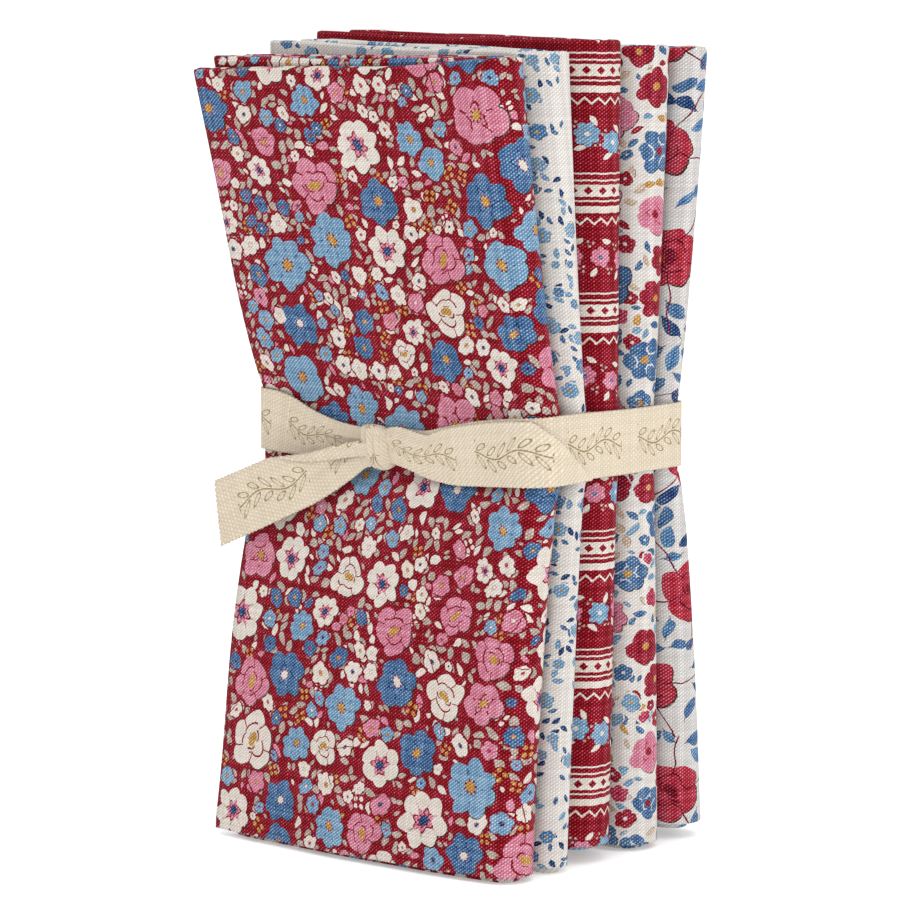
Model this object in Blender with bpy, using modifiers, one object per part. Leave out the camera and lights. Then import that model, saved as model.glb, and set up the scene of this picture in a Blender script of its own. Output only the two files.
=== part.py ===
"""Fat quarter bundle: five folded cotton cloths stood on edge and tied at the waist with flat tape.

Each cloth is a fat quarter, 457 x 559 mm. Its length is folded in three, which gives the packet's
height, and its width is wound back and forth into five layers, which gives the packet's width. The
spine, the side with one smooth round fold, faces +X, and the cut end and the other folds face -X.
The front of the stack faces -Y, and the stack stands on z = 0. Units are metres.
"""

import math

import bmesh
import bpy

MM = 0.001

# Cut size of one cloth, and how it is folded.
CLOTH_WIDTH = 457 * MM
CLOTH_LENGTH = 559 * MM
PLIES = 3
LAYER_ORDER = (0, 4, 1, 3, 2)  # layers, counted from the front, in the order the cloth runs through them
LAYERS = len(LAYER_ORDER)
FLAP_SHORT = 2 * MM  # the last third is folded in this much short of the other two
HEIGHT = (CLOTH_LENGTH + FLAP_SHORT) / PLIES
WIDTH = CLOTH_WIDTH / LAYERS
SPINE_X = WIDTH / 2
OPEN_X = -WIDTH / 2
CLOTH_SHARE = 0.68  # share of the spacing between two layers that is cloth, and the rest is air
PACKET_GAP = 0.35 * MM
UPRIGHT_FOOT = 4.5 * MM  # up to here the cloths stand upright, so their feet are flat
OUTER_FOOT = 1.5 * MM  # the outer layer, spine included, ends this far above the foot of the inner ones
FRONT_BULGE = 3.0 * MM  # the lower front swells forward between its two sides

# The tie.
TAPE_WIDTH = 14.6 * MM
TAPE_THICK = 1.0 * MM
TAPE_Z = 98 * MM
TAPE_CLEAR = 0.35 * MM
END_ROUND = 0.4 * MM  # the tape's bend at the open side's two corners, on its inner face
WAIST_HALF = 8.5 * MM  # the stack is evenly squeezed this far above and below the tape's middle
FLARE_BELOW = 0.62  # how quickly the stack swells away from the tape: 1 is a straight slope
FLARE_ABOVE = 0.8

# The origin lies in the middle of the whole outline, left tail of the tape included.
MIDDLE_X = 0.45 * MM
MIDDLE_Y = -2.6 * MM

# Planes between the cloths from front to back, in mm behind the middle, at the spine and at the open side.
SPINE_PLANES = {
    "bottom": (-39.0, -24.0, -13.0, 6.0, 24.0, 41.0),
    "waist": (-27.5, -16.2, -8.2, 6.8, 19.6, 26.6),
    "top": (-43.0, -29.0, -10.6, 9.1, 26.6, 39.0),
}
OPEN_PLANES = {
    "bottom": (-39.5, -25.0, -12.0, 6.0, 22.0, 38.0),
    "waist": (-20.8, -12.6, -4.6, 3.4, 11.4, 19.4),
    "top": (-45.5, -31.0, -13.0, 6.0, 24.0, 40.0),
}

# name, height over the nominal one, lift off the ground, open end short of the full width, its folds set
# back from it, rise of the open side, droop of the front layer's free top corner (all mm), colour
CLOTHS = (
    ("fabric_1_red_floral", 0.0, 0.0, 0.0, 3.0, 0.0, 3.0, (0.40, 0.012, 0.035)),
    ("fabric_2_cream_sprig", 0.3, 0.0, 10.5, 2.0, 3.0, 0.5, (0.80, 0.75, 0.68)),
    ("fabric_3_red_border", 0.4, 2.6, 9.5, 2.5, 2.6, 0.4, (0.40, 0.012, 0.035)),
    ("fabric_4_mixed_floral", 2.2, 0.0, 6.0, 2.0, 0.5, 1.5, (0.80, 0.76, 0.70)),
    ("fabric_5_rose_leaf", -0.2, 2.2, 5.0, 2.5, 0.0, 1.0, (0.80, 0.78, 0.74)),
)
OPEN_SHORT = 3  # the column that says how far short the open end is
FRONT = 0
BACK = len(CLOTHS) - 1

# Mesh rows of a cloth: shares of the way from its foot up to the squeezed waist, and from there to its head.
ROWS = tuple(("foot", share) for share in (0.0, 0.02, 0.3, 0.6, 0.84, 1.0))
ROWS += tuple(("head", share) for share in (0.0, 0.22, 0.48, 0.74, 1.0))
RUN_STEPS = 4
TURN_STEPS_PER_SPACING = 1.5

# The knot and the two tails. The left tail's columns are, in mm: across, behind the tape's outer face
# (minus is forward), height and width.
KNOT_X = -1.5 * MM
KNOT_Z = 96.5 * MM
KNOT_SIZE = (9.0 * MM, 7.0 * MM, 12.5 * MM)
KNOT_PROUD = 2.6 * MM  # its middle lies this far in front of the band
LEFT_TAIL = (
    (-2.0, -2.6, 96.0, 7.0),
    (-9.0, -4.2, 93.6, 10.5),
    (-17.0, -5.4, 90.6, 14.0),
    (-31.0, -7.6, 83.6, 14.6),
    (-46.0, -10.4, 76.4, 14.6),
)
LEFT_TAIL_SLANT = 0.2  # lean of the tail's width from the vertical
RIGHT_TAIL_LENGTH = 60 * MM
RIGHT_TAIL_SLANT = 5 * MM  # the cut end's lower corner lies this much further along than its middle
RIGHT_TAIL_DROP = 0.6 * MM
RIGHT_TAIL_STEPS = 12
TAIL_CLEAR = 0.4 * MM  # gap between the band and the tail that lies over it


def mix(a, b, share):
    return a + (b - a) * share


def flare(z):
    """0 at the tape, 1 at the top and the bottom of the stack."""
    if z > TAPE_Z:
        away = (z - TAPE_Z - WAIST_HALF) / (HEIGHT - TAPE_Z - WAIST_HALF)
        return min(max(away, 0.0), 1.0) ** FLARE_ABOVE
    away = (TAPE_Z - WAIST_HALF - z) / (TAPE_Z - WAIST_HALF - UPRIGHT_FOOT)
    return min(max(away, 0.0), 1.0) ** FLARE_BELOW


def plane_y(index, x, z):
    """Where the plane in front of cloth INDEX lies, at the place x and the height z."""
    end = "top" if z > TAPE_Z else "bottom"
    at_spine = mix(SPINE_PLANES["waist"][index], SPINE_PLANES[end][index], flare(z))
    at_open = mix(OPEN_PLANES["waist"][index], OPEN_PLANES[end][index], flare(z))
    across = min(max((x - OPEN_X) / WIDTH, 0.0), 1.0)
    bulge = FRONT_BULGE * flare(z) * math.sin(math.pi * across) if index == FRONT and z < TAPE_Z else 0.0
    return mix(at_open, at_spine, across) * MM - bulge


def packet_range(index, x, z):
    """Front and back of one packet, with its share of the gap to its neighbours taken off."""
    front = plane_y(index, x, z) + PACKET_GAP / 2
    back = plane_y(index + 1, x, z) - PACKET_GAP / 2
    return front, back


def spacing(index, x, z):
    front, back = packet_range(index, x, z)
    return (back - front) / LAYERS


def layer_y(index, x, z, layer):
    front, back = packet_range(index, x, z)
    return mix(front, back, (layer + 0.5) / LAYERS)


def is_outer(layer):
    return layer in (0, LAYERS - 1)


def section_route():
    """The folded section, point by point, as (kind, share along, layer, half span, how far it is outer)."""
    route = []
    for turn, layer in enumerate(LAYER_ORDER):
        toward_spine = turn % 2 == 0
        kind = "free run" if turn == 0 else "run"
        for step in range(RUN_STEPS + 1):
            share = step / RUN_STEPS
            route.append((kind, share if toward_spine else 1 - share, layer, 0, is_outer(layer)))
        if turn + 1 == LAYERS:
            break
        after = LAYER_ORDER[turn + 1]
        kind = "spine turn" if toward_spine else "open turn"
        steps = max(3, round(abs(after - layer) * TURN_STEPS_PER_SPACING))
        for step in range(1, steps):
            angle = math.pi * step / steps
            place = (layer + after) / 2 - (after - layer) / 2 * math.cos(angle)
            outer = mix(is_outer(layer), is_outer(after), step / steps)
            route.append((kind, math.sin(angle), place, abs(after - layer) / 2, outer))
    return route


def row_height(index, outer, across, loss, row):
    """Height of a point of a mesh row, ACROSS being 0 at the open side and 1 at the spine."""
    name, taller, lift, short, setback, rise = CLOTHS[index][:6]
    end, share = row
    tilt = (lift + rise * (1 - across)) * MM
    if end == "foot":
        return mix(outer * OUTER_FOOT + tilt, TAPE_Z - WAIST_HALF, share)
    return mix(TAPE_Z + WAIST_HALF, HEIGHT + taller * MM + tilt - loss, share)


def section_point(index, corner, row):
    """One point of the section of cloth INDEX on one of its mesh rows, and the layer spacing there."""
    name, taller, lift, short, setback, rise, droop = CLOTHS[index][:7]
    kind, share, layer, half_span, outer = corner
    z = row_height(index, outer, 1.0, 0.0, row)
    open_end = OPEN_X + short * MM
    spine_pitch = spacing(index, SPINE_X, z)
    open_pitch = spacing(index, open_end, z)
    spine_centre = SPINE_X - (2 + CLOTH_SHARE / 2) * spine_pitch
    open_centre = open_end + setback * MM + (1.5 + CLOTH_SHARE / 2) * open_pitch
    if kind == "free run":
        x = mix(open_end, spine_centre, share)
    elif kind == "run":
        x = mix(open_centre, spine_centre, share)
    elif kind == "spine turn":
        x = spine_centre + half_span * spine_pitch * share
    else:
        x = open_centre - half_span * open_pitch * share
    across = (x - open_end) / (SPINE_X - open_end)
    loss = droop * MM * max(1 - layer, 0) * (1 - across**3)
    place = (x, layer_y(index, x, z, layer), row_height(index, outer, across, loss, row))
    return place, spacing(index, x, z)


def material(name, colour, roughness=0.85):
    made = bpy.data.materials.new(name)
    made.use_nodes = True
    shader = made.node_tree.nodes["Principled BSDF"]
    shader.inputs["Base Color"].default_value = (*colour, 1)
    shader.inputs["Roughness"].default_value = roughness
    shader.inputs["Metallic"].default_value = 0
    return made


def new_object(name, mesh, collection, finish):
    made = bpy.data.objects.new(name, mesh)
    collection.objects.link(made)
    if finish:
        mesh.materials.append(finish)
    return made


def strip_mesh(name, rows):
    """A mesh of quads between rows of points, each row as long as the others."""
    shape = bmesh.new()
    grid = [[shape.verts.new(point) for point in row] for row in rows]
    for lower, upper in zip(grid, grid[1:]):
        for a, b, c, d in zip(lower, lower[1:], upper[1:], upper):
            shape.faces.new((a, b, c, d))
    mesh = bpy.data.meshes.new(name)
    shape.to_mesh(mesh)
    shape.free()
    return mesh


def make_cloth(index, collection):
    """One packet: an open sheet along its folded section, thickened by its local layer spacing."""
    name, colour = CLOTHS[index][0], CLOTHS[index][-1]
    rows = []
    spacings = []
    for row in ROWS:
        points = [section_point(index, corner, row) for corner in section_route()]
        rows.append([(x - MIDDLE_X, y - MIDDLE_Y, z) for (x, y, z), _ in points])
        spacings += [local for _, local in points]
    cloth = new_object(name, strip_mesh(name, rows), collection, material(name, colour))
    group = cloth.vertex_groups.new(name="thickness")
    for vertex, local in enumerate(spacings):
        group.add([vertex], local / max(spacings), "REPLACE")
    thicken = cloth.modifiers.new("Thickness", "SOLIDIFY")
    thicken.thickness = CLOTH_SHARE * max(spacings)
    thicken.offset = 0
    thicken.vertex_group = group.name
    thicken.thickness_vertex_group = 0


def waist_circles():
    """The round corners that the tape lies on, as (x, y, radius), round the stack from the front left."""
    spine = SPINE_PLANES["waist"]
    front_end = OPEN_X + END_ROUND
    circles = [(front_end, plane_y(FRONT, front_end, TAPE_Z) + END_ROUND, END_ROUND)]
    for index in (FRONT, BACK):
        radius = (spine[index + 1] - spine[index]) / 2 * MM
        middle = (spine[index + 1] + spine[index]) / 2 * MM
        circles.append((SPINE_X - radius, middle, radius))
    back_end = OPEN_X + CLOTHS[BACK][OPEN_SHORT] * MM + END_ROUND
    circles.append((back_end, plane_y(BACK + 1, back_end, TAPE_Z) - END_ROUND, END_ROUND))
    return circles


def belt(offset, steps=8):
    """The way of a belt OFFSET outside the waist's circles, as one arc of (x, y) points for each circle."""
    circles = waist_circles()
    normals = []
    for (x1, y1, r1), (x2, y2, r2) in zip(circles, circles[1:] + circles[:1]):
        heading = math.atan2(y2 - y1, x2 - x1)
        normals.append(heading - math.acos((r1 - r2) / math.hypot(x2 - x1, y2 - y1)))
    arcs = []
    for number, (x, y, radius) in enumerate(circles):
        before = normals[number - 1]
        turn = (normals[number] - before) % math.tau
        angles = [before + turn * step / steps for step in range(steps + 1)]
        reach = radius + offset
        arcs.append([(x + reach * math.cos(angle), y + reach * math.sin(angle)) for angle in angles])
    return arcs


def thickened(name, rows, collection, closed=False):
    """A strip of tape from rows of points, thickened by a modifier. A closed one is welded into a loop."""
    mesh = strip_mesh(name, [row + row[:1] for row in rows] if closed else rows)
    if closed:
        shape = bmesh.new()
        shape.from_mesh(mesh)
        bmesh.ops.remove_doubles(shape, verts=shape.verts, dist=0.01 * MM)
        shape.to_mesh(mesh)
        shape.free()
    strip = new_object(name, mesh, collection, None)
    thicken = strip.modifiers.new("Thickness", "SOLIDIFY")
    thicken.thickness = TAPE_THICK
    thicken.offset = 0
    return strip


def make_band(collection):
    route = [point for arc in belt(TAPE_CLEAR + TAPE_THICK / 2) for point in arc]
    heights = (TAPE_Z - TAPE_WIDTH / 2, TAPE_Z + TAPE_WIDTH / 2)
    rows = [[(x - MIDDLE_X, y - MIDDLE_Y, z) for x, y in route] for z in heights]
    return thickened("band", rows, collection, closed=True)


def front_y(x, offset):
    """Where a belt OFFSET outside the stack runs along its front."""
    front_left, front_right = belt(offset)[:2]
    (x1, y1), (x2, y2) = front_left[-1], front_right[0]
    return mix(y1, y2, (x - x1) / (x2 - x1))


def make_left_tail(collection):
    """The tail that stands free of the stack, from the knot down to the left."""
    face = front_y(KNOT_X, TAPE_CLEAR + TAPE_THICK)
    rows = []
    for sign in (-1, 1):
        row = []
        for x, behind, z, width in LEFT_TAIL:
            half = sign * width / 2
            across = (x - half * LEFT_TAIL_SLANT) * MM
            row.append((across - MIDDLE_X, face + behind * MM - MIDDLE_Y, (z + half) * MM))
        rows.append(row)
    return thickened("left_tail", rows, collection)


def point_along(corners, distance):
    """The point at a distance along a line of corners."""
    for (x1, y1), (x2, y2) in zip(corners, corners[1:]):
        length = math.hypot(x2 - x1, y2 - y1)
        if distance <= length:
            return mix(x1, x2, distance / length), mix(y1, y2, distance / length)
        distance -= length
    return corners[-1]


def make_right_tail(collection):
    """The tail that lies over the band, from the knot round the front of the spine."""
    offset = TAPE_CLEAR + TAPE_THICK * 1.5 + TAIL_CLEAR
    _, front_right, back_right, _ = belt(offset, steps=12)
    corners = [(KNOT_X, front_y(KNOT_X, offset)), *front_right, back_right[0]]
    rows = []
    for sign in (-1, 1):
        row = []
        for step in range(RIGHT_TAIL_STEPS + 1):
            reach = (RIGHT_TAIL_LENGTH - sign * RIGHT_TAIL_SLANT) * step / RIGHT_TAIL_STEPS
            x, y = point_along(corners, reach)
            z = TAPE_Z - RIGHT_TAIL_DROP + sign * TAPE_WIDTH / 2
            row.append((x - MIDDLE_X, y - MIDDLE_Y, z))
        rows.append(row)
    return thickened("right_tail", rows, collection)


def make_knot(collection):
    """The knot: one rounded wrap of the tape, fused with the band and both tails."""
    shape = bmesh.new()
    bmesh.ops.create_uvsphere(shape, u_segments=14, v_segments=9, radius=0.5)
    bmesh.ops.scale(shape, vec=KNOT_SIZE, verts=shape.verts)
    face = front_y(KNOT_X, TAPE_CLEAR + TAPE_THICK)
    middle = (KNOT_X - MIDDLE_X, face - KNOT_PROUD - MIDDLE_Y, KNOT_Z)
    bmesh.ops.translate(shape, vec=middle, verts=shape.verts)
    mesh = bpy.data.meshes.new("knot")
    shape.to_mesh(mesh)
    shape.free()
    return new_object("knot", mesh, collection, None)


def make_tape(collection, cutters):
    """The band, knot and tails as one piece of tape."""
    finish = material("tie_tape", (0.78, 0.70, 0.56), 0.9)
    tape = make_band(collection)
    tape.name = "tie_tape"
    tape.data.name = "tie_tape"
    tape.data.materials.append(finish)
    for piece in (make_knot(cutters), make_left_tail(cutters), make_right_tail(cutters)):
        piece.hide_render = True
        piece.display_type = "WIRE"
        join = tape.modifiers.new(piece.name, "BOOLEAN")
        join.operation = "UNION"
        join.object = piece


def main():
    for thing in list(bpy.data.objects):
        bpy.data.objects.remove(thing, do_unlink=True)
    bundle = bpy.data.collections.new("fat_quarter_bundle")
    cutters = bpy.data.collections.new("cutters")
    for collection in (bundle, cutters):
        bpy.context.scene.collection.children.link(collection)
    for index in range(len(CLOTHS)):
        make_cloth(index, bundle)
    make_tape(bundle, cutters)


main()
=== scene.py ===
"""Looks of the fat quarter bundle: five folded printed cottons stood on edge and tied with cotton tape.

Every cloth is modelled as it is folded: one sheet, folded in three along its length and wound into five
layers across its width, so its edges, folds and spine are the cloth's own. The prints are generic
florals, worked out by shader nodes over the flat cloth. Tables are in millimetres, meshes in metres.
"""

import math
from types import SimpleNamespace

import bpy
import numpy as np
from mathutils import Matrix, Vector


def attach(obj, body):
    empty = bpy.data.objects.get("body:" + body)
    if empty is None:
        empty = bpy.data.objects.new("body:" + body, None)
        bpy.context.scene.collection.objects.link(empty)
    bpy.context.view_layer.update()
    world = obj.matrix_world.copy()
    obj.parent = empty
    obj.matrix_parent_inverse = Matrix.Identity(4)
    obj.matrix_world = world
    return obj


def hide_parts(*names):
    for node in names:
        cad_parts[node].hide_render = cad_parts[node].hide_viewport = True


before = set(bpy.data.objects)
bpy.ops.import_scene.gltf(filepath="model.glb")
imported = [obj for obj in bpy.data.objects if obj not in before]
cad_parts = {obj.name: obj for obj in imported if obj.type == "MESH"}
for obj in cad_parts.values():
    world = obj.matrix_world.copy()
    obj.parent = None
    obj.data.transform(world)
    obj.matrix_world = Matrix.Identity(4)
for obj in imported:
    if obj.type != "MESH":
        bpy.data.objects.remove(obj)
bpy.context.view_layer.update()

MM = 0.001

# ------------------------------
# Sizes, in millimetres, as in the CAD model.

CLOTH_WIDTH = 457.0
CLOTH_LENGTH = 559.0
LAYER_ORDER = (0, 4, 1, 3, 2)
LAYERS = len(LAYER_ORDER)
HEIGHT = 187.0
WIDTH = CLOTH_WIDTH / LAYERS
SPINE_X = WIDTH / 2
OPEN_X = -WIDTH / 2
PACKET_GAP = 0.35
CLOTH_SHARE = 0.68  # share of a layer's spacing that is cloth in the CAD model, and not air
UPRIGHT_FOOT = 4.5
OUTER_FOOT = 1.5
FRONT_BULGE = 3.0
TAPE_WIDTH = 14.6
TAPE_Z = 98.0
TAPE_CLEAR = 0.35
WAIST_HALF = 8.5
WAIST_LOW = TAPE_Z - WAIST_HALF
WAIST_HIGH = TAPE_Z + WAIST_HALF
FLARE_BELOW = 0.62
FLARE_ABOVE = 0.8
MIDDLE = (0.45, -2.6, 0.0)

SPINE_PLANES = {
    "bottom": (-39.0, -24.0, -13.0, 6.0, 24.0, 41.0),
    "waist": (-27.5, -16.2, -8.2, 6.8, 19.6, 26.6),
    "top": (-43.0, -29.0, -10.6, 9.1, 26.6, 39.0),
}
OPEN_PLANES = {
    "bottom": (-39.5, -25.0, -12.0, 6.0, 22.0, 38.0),
    "waist": (-20.8, -12.6, -4.6, 3.4, 11.4, 19.4),
    "top": (-45.5, -31.0, -13.0, 6.0, 24.0, 40.0),
}

# node, height over the nominal one, lift, open end short of the full width, folds set back from it,
# rise of the open side, droop of the front layer's free top corner
CLOTHS = (
    ("fabric_1_red_floral", 0.0, 0.0, 0.0, 1.2, 0.0, 3.0),
    ("fabric_2_cream_sprig", 0.9, 0.0, 11.4, 1.6, 3.0, 0.5),
    ("fabric_3_red_border", 0.7, 2.6, 8.9, 2.5, 2.6, 0.4),
    ("fabric_4_mixed_floral", 2.2, 0.0, 6.0, 2.0, 0.5, 1.5),
    ("fabric_5_rose_leaf", -0.2, 2.2, 5.0, 2.5, 0.0, 1.0),
)
FRONT = 0
BACK = len(CLOTHS) - 1

CLOTH_THICK = 0.28
SPINE_COLUMN = 30  # the mesh column where the first layer meets the spine
HELD_COLUMN = 15  # one in the middle of the first layer, where the print hangs straight
PLY_SPREAD = 0.62  # how far a layer's outer plies lie from its middle
PLY_SHARE = 0.3  # or at most this share of the layer spacing


def mix(a, b, share):
    """What lies SHARE of the way from A to B: numbers, arrays or fields."""
    return a + (b - a) * share


# ------------------------------
# Colours of the prints, and sizes of threads in millimetres.

def rgb(red, green, blue):
    """A colour given as 0 to 255 on a screen, as shaders want it."""
    def linear(part):
        part /= 255
        return part / 12.92 if part <= 0.04045 else ((part + 0.055) / 1.055) ** 2.4
    return (linear(red), linear(green), linear(blue), 1.0)


CRIMSON = rgb(142, 13, 27)
RED = rgb(160, 32, 50)
ROSE_RED = rgb(184, 46, 64)
DARK_RED = rgb(118, 14, 32)
DEEP_ROSE = rgb(190, 60, 90)
PINK = rgb(222, 136, 160)
CREAM = rgb(240, 229, 218)
IVORY = rgb(238, 232, 226)
PALE = rgb(226, 222, 219)
LIGHT_BLUE = rgb(129, 169, 201)
MID_BLUE = rgb(77, 115, 160)
STEEL_BLUE = rgb(92, 137, 182)
DARK_BLUE = rgb(45, 73, 121)
LEAF_GREY = rgb(192, 174, 162)
BEIGE = rgb(214, 192, 166)
GOLD = rgb(204, 152, 74)
OUTLINE = rgb(72, 52, 44)
TWIG = rgb(70, 84, 92)
TAPE_CREAM = rgb(232, 217, 194)
TAPE_INK = rgb(164, 148, 108)
OUTLINE_ANGLE = -0.6
PETAL_SLIM = 0.8
PETAL_CORE = 0.42
SPRIG_LANE = 22.0
SPRIG_WIDE = 13.0
SPRIG_START = 4.0
BORDER_REPEAT = 28.0
BORDER_START = 6.0
ZIGZAG_LEVEL = 2.0
ZIGZAG_HALF = 0.7
ZIGZAG_THICK = 0.3
ZIGZAG_PITCH = 3.0
LOZENGE_LEVEL = 9.1
LOZENGE_HALF = 1.0
LOZENGE_PITCH = 3.2
BORDER_BANDS = ((3.9, 5.5), (6.5, 6.9), (7.7, 10.5), (11.3, 11.7), (12.9, 13.3))  # from, to
BORDER_FLOWERS = 6.2  # from one flower of a row to the next
WARP_PITCH = 0.54
WEFT_PITCH = 0.43
WEFT_CROWN = 0.5  # height of a weft thread's crowns, where a warp thread's are 1
THREAD_TWIST = 0.3  # share of the height that is fine diagonal ribs, as twisted yarn has
CROWN_SHAPE = 0.5  # power of the threads' height that gives wide crowns of painted light and narrow gaps of painted shade
RELIEF_MEAN = 0.638  # the mean over printed cloth of the height to that power
WEAVE_LIGHT = 0.665
# The two below paint light on the threads' crowns and shade into the gaps between them, in the colour.
WEAVE_RELIEF = 0.36
GAP_SHADE_RELIEF = 1.6
THREAD_UNEVEN = 0.14
THREAD_WANDER = 0.3
WANDER_PITCH = 2.6
THREAD_DEPTH = 0.05
INK_STRAY = 0.16
WRONG_SIDE_FADE = 0.55
TAPE_LIGHT = 0.75
# The two below paint light on the tape threads' crowns and shade into the gaps between them, in the
# colour.
TAPE_RELIEF = 0.32
TAPE_GAP_SHADE_RELIEF = 0.35
COTTON_SURFACE = {
    "Roughness": 0.88, "Specular IOR Level": 0.06, "Sheen Weight": 0.02, "Sheen Roughness": 0.5}
TAPE_THICK = 0.42
TAPE_DEPTH = 0.09
TAPE_STEP = 0.33
TAPE_LINES = 31
FOLD_PROUD = 1.25
SELVEDGE_LOOP = 0.34
SELVEDGE_PITCH = 1.0
KNOT_X = -2.0
KNOT_WIDTH = 9.4
KNOT_LOW_WIDTH = 6.8
KNOT_ROUND = 1.7
KNOT_CREASES = ((-0.6, 0.0), (-0.1, 0.45), (0.7, 0.55))
KNOT_Z = 96.0
RIGHT_TAIL = 53.5
LEFT_TAIL_START = -4.5
KNOT_CUT, RIGHT_TAIL_CUT, LEFT_TAIL_CUT = 409.0, 467.5, 530.0  # starts on the line of sprigs
END_ROUND = 0.4
STEM_REPEAT = 26.0
STEM_HALF = 10.0
STEM_SWAY = 1.1
STEM_WAVE = 0.42
STEM_THICK = 0.19
STEM_LEAF_PITCH = 3.2
STEM_LEAF_LEAN = 0.9
STEM_LEAF_ASIDE = 1.75
STEM_LEAF_HALVES = (0.85, 1.35)

# ------------------------------
# Shader arithmetic.

def node_method(operation, swapped=False):
    """A method that makes a Math node of a field and what stands beside it."""
    def method(self, *others):
        return work(operation, *others, self) if swapped else work(operation, self, *others)
    return method


class Field:
    """A number that shader nodes work out at each place, written like a Python number."""

    def __init__(self, tree, socket):
        self.tree = tree
        self.socket = socket

    __add__ = node_method("ADD")
    __radd__ = node_method("ADD", swapped=True)
    __sub__ = node_method("SUBTRACT")
    __rsub__ = node_method("SUBTRACT", swapped=True)
    __mul__ = node_method("MULTIPLY")
    __rmul__ = node_method("MULTIPLY", swapped=True)
    __truediv__ = node_method("DIVIDE")
    __rtruediv__ = node_method("DIVIDE", swapped=True)
    __pow__ = node_method("POWER")
    __abs__ = node_method("ABSOLUTE")
    __lt__ = node_method("LESS_THAN")
    __gt__ = node_method("GREATER_THAN")


def feed(tree, value, socket):
    """Sets a node's input to a number or colour, or links it to a field's or a node's output."""
    if isinstance(value, Field):
        tree.links.new(value.socket, socket)
    elif isinstance(value, bpy.types.NodeSocket):
        tree.links.new(value, socket)
    else:
        socket.default_value = value


def add_node(tree, kind, inputs, **settings):
    """A new shader node with these settings, and with the inputs of those names or numbers fed."""
    node = tree.nodes.new("ShaderNode" + kind)
    for name, value in settings.items():
        setattr(node, name, value)
    for key, value in inputs.items():
        feed(tree, value, node.inputs[key])
    return node


def work(operation, *values):
    """The Field that a Math node makes of numbers and at least one Field."""
    tree = next(value.tree for value in values if isinstance(value, Field))
    node = add_node(tree, "Math", dict(enumerate(values)), operation=operation)
    return Field(tree, node.outputs[0])


def least(first, *others):
    for other in others:
        first = work("MINIMUM", first, other)
    return first


def most(first, *others):
    for other in others:
        first = work("MAXIMUM", first, other)
    return first


def sine(angle):
    return work("SINE", angle) if isinstance(angle, Field) else math.sin(angle)


def cosine(angle):
    return work("COSINE", angle) if isinstance(angle, Field) else math.cos(angle)


def whole(value):
    return work("FLOOR", value)


def fraction(value):
    return work("FRACT", value)


def past_step(value, step):
    """How far VALUE is past the last whole multiple of STEP."""
    return work("FLOORED_MODULO", value, step)


def length(x, y):
    return work("SQRT", x * x + y * y)


def point_socket(x, y):
    return add_node(x.tree, "CombineXYZ", {0: x, 1: y}).outputs[0]


def parts(tree, socket, count=3):
    node = add_node(tree, "SeparateXYZ", {0: socket})
    return [Field(tree, output) for output in node.outputs[:count]]


def mixed(tree, share, under, over):
    """The colours UNDER and OVER mixed, with SHARE of OVER."""
    return add_node(tree, "Mix", {0: share, 6: under, 7: over}, data_type="RGBA").outputs[2]


def paint(share, under, over):
    """The colour OVER laid on the colour UNDER, where the field SHARE is 1."""
    return mixed(share.tree, share, under, over)


def choice(field, colours):
    """One of the colours, each with its share of the field's range from 0 to 1."""
    node = add_node(field.tree, "ValToRGB", {0: field})
    ramp = node.color_ramp
    ramp.interpolation = "CONSTANT"
    total = sum(weight for weight, _ in colours)
    start = 0.0
    for number, (weight, colour) in enumerate(colours):
        element = ramp.elements[number] if number < 2 else ramp.elements.new(start)
        element.position = start
        element.color = colour
        start += weight / total
    return node.outputs[0]


# ------------------------------
# Motifs of the prints. Places are in millimetres on the flat cloth.

def voronoi(tree, place, spacing, randomness, feature="F1"):
    """A node that divides the cloth into cells about SPACING wide."""
    inputs = {"Vector": place, "Scale": 1 / spacing, "Randomness": randomness}
    return add_node(tree, "TexVoronoi", inputs, voronoi_dimensions="2D", feature=feature)


class Spot:
    """The cell that each place is in: the place from the cell's middle, and the cell's own numbers."""

    def __init__(self, x, y, spacing, seed, randomness=0.75, room=True):
        tree = x.tree
        shifted = point_socket(x + seed, y + seed * 0.37)
        node = voronoi(tree, shifted, spacing, randomness)
        middle_x, middle_y = parts(tree, node.outputs["Position"], 2)
        self.middle = (middle_x - seed, middle_y - seed * 0.37)
        self.x = x - self.middle[0]
        self.y = y - self.middle[1]
        self.chance, self.turn, self.kind = parts(tree, node.outputs["Color"])
        if room:
            around = voronoi(tree, shifted, spacing, randomness, "N_SPHERE_RADIUS")
            self.room = Field(tree, around.outputs["Radius"]) * spacing


def hashed(first, second=None):
    """A number from 0 to 1 that looks random but is always the same for the same whole numbers."""
    inputs = {"W": first} if second is None else {"Vector": point_socket(first, second)}
    dimensions = "1D" if second is None else "2D"
    node = add_node(first.tree, "TexWhiteNoise", inputs, noise_dimensions=dimensions)
    return Field(first.tree, node.outputs["Value"])


def folded(spot, reach, count):
    """Distance from the spot's middle over REACH, and the place in one of COUNT equal sectors."""
    distance = length(spot.x, spot.y) / (most(reach, 0.001) if isinstance(reach, Field) else reach)
    angle = work("ARCTAN2", spot.y, spot.x)
    turned = angle + spot.turn * math.tau
    sector = math.tau / count
    off_axis = past_step(turned, sector) - sector / 2
    return SimpleNamespace(
        near=distance, angle=angle, turned=turned, sector=sector,
        along=distance * cosine(off_axis), aside=distance * sine(off_axis))


def oval(place, at, half_long, half_wide):
    """Squared distance from the middle of an oval AT a place on the sector's axis; 1 is its edge."""
    return ((place.along - at) / half_long) ** 2 + (place.aside / half_wide) ** 2


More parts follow.
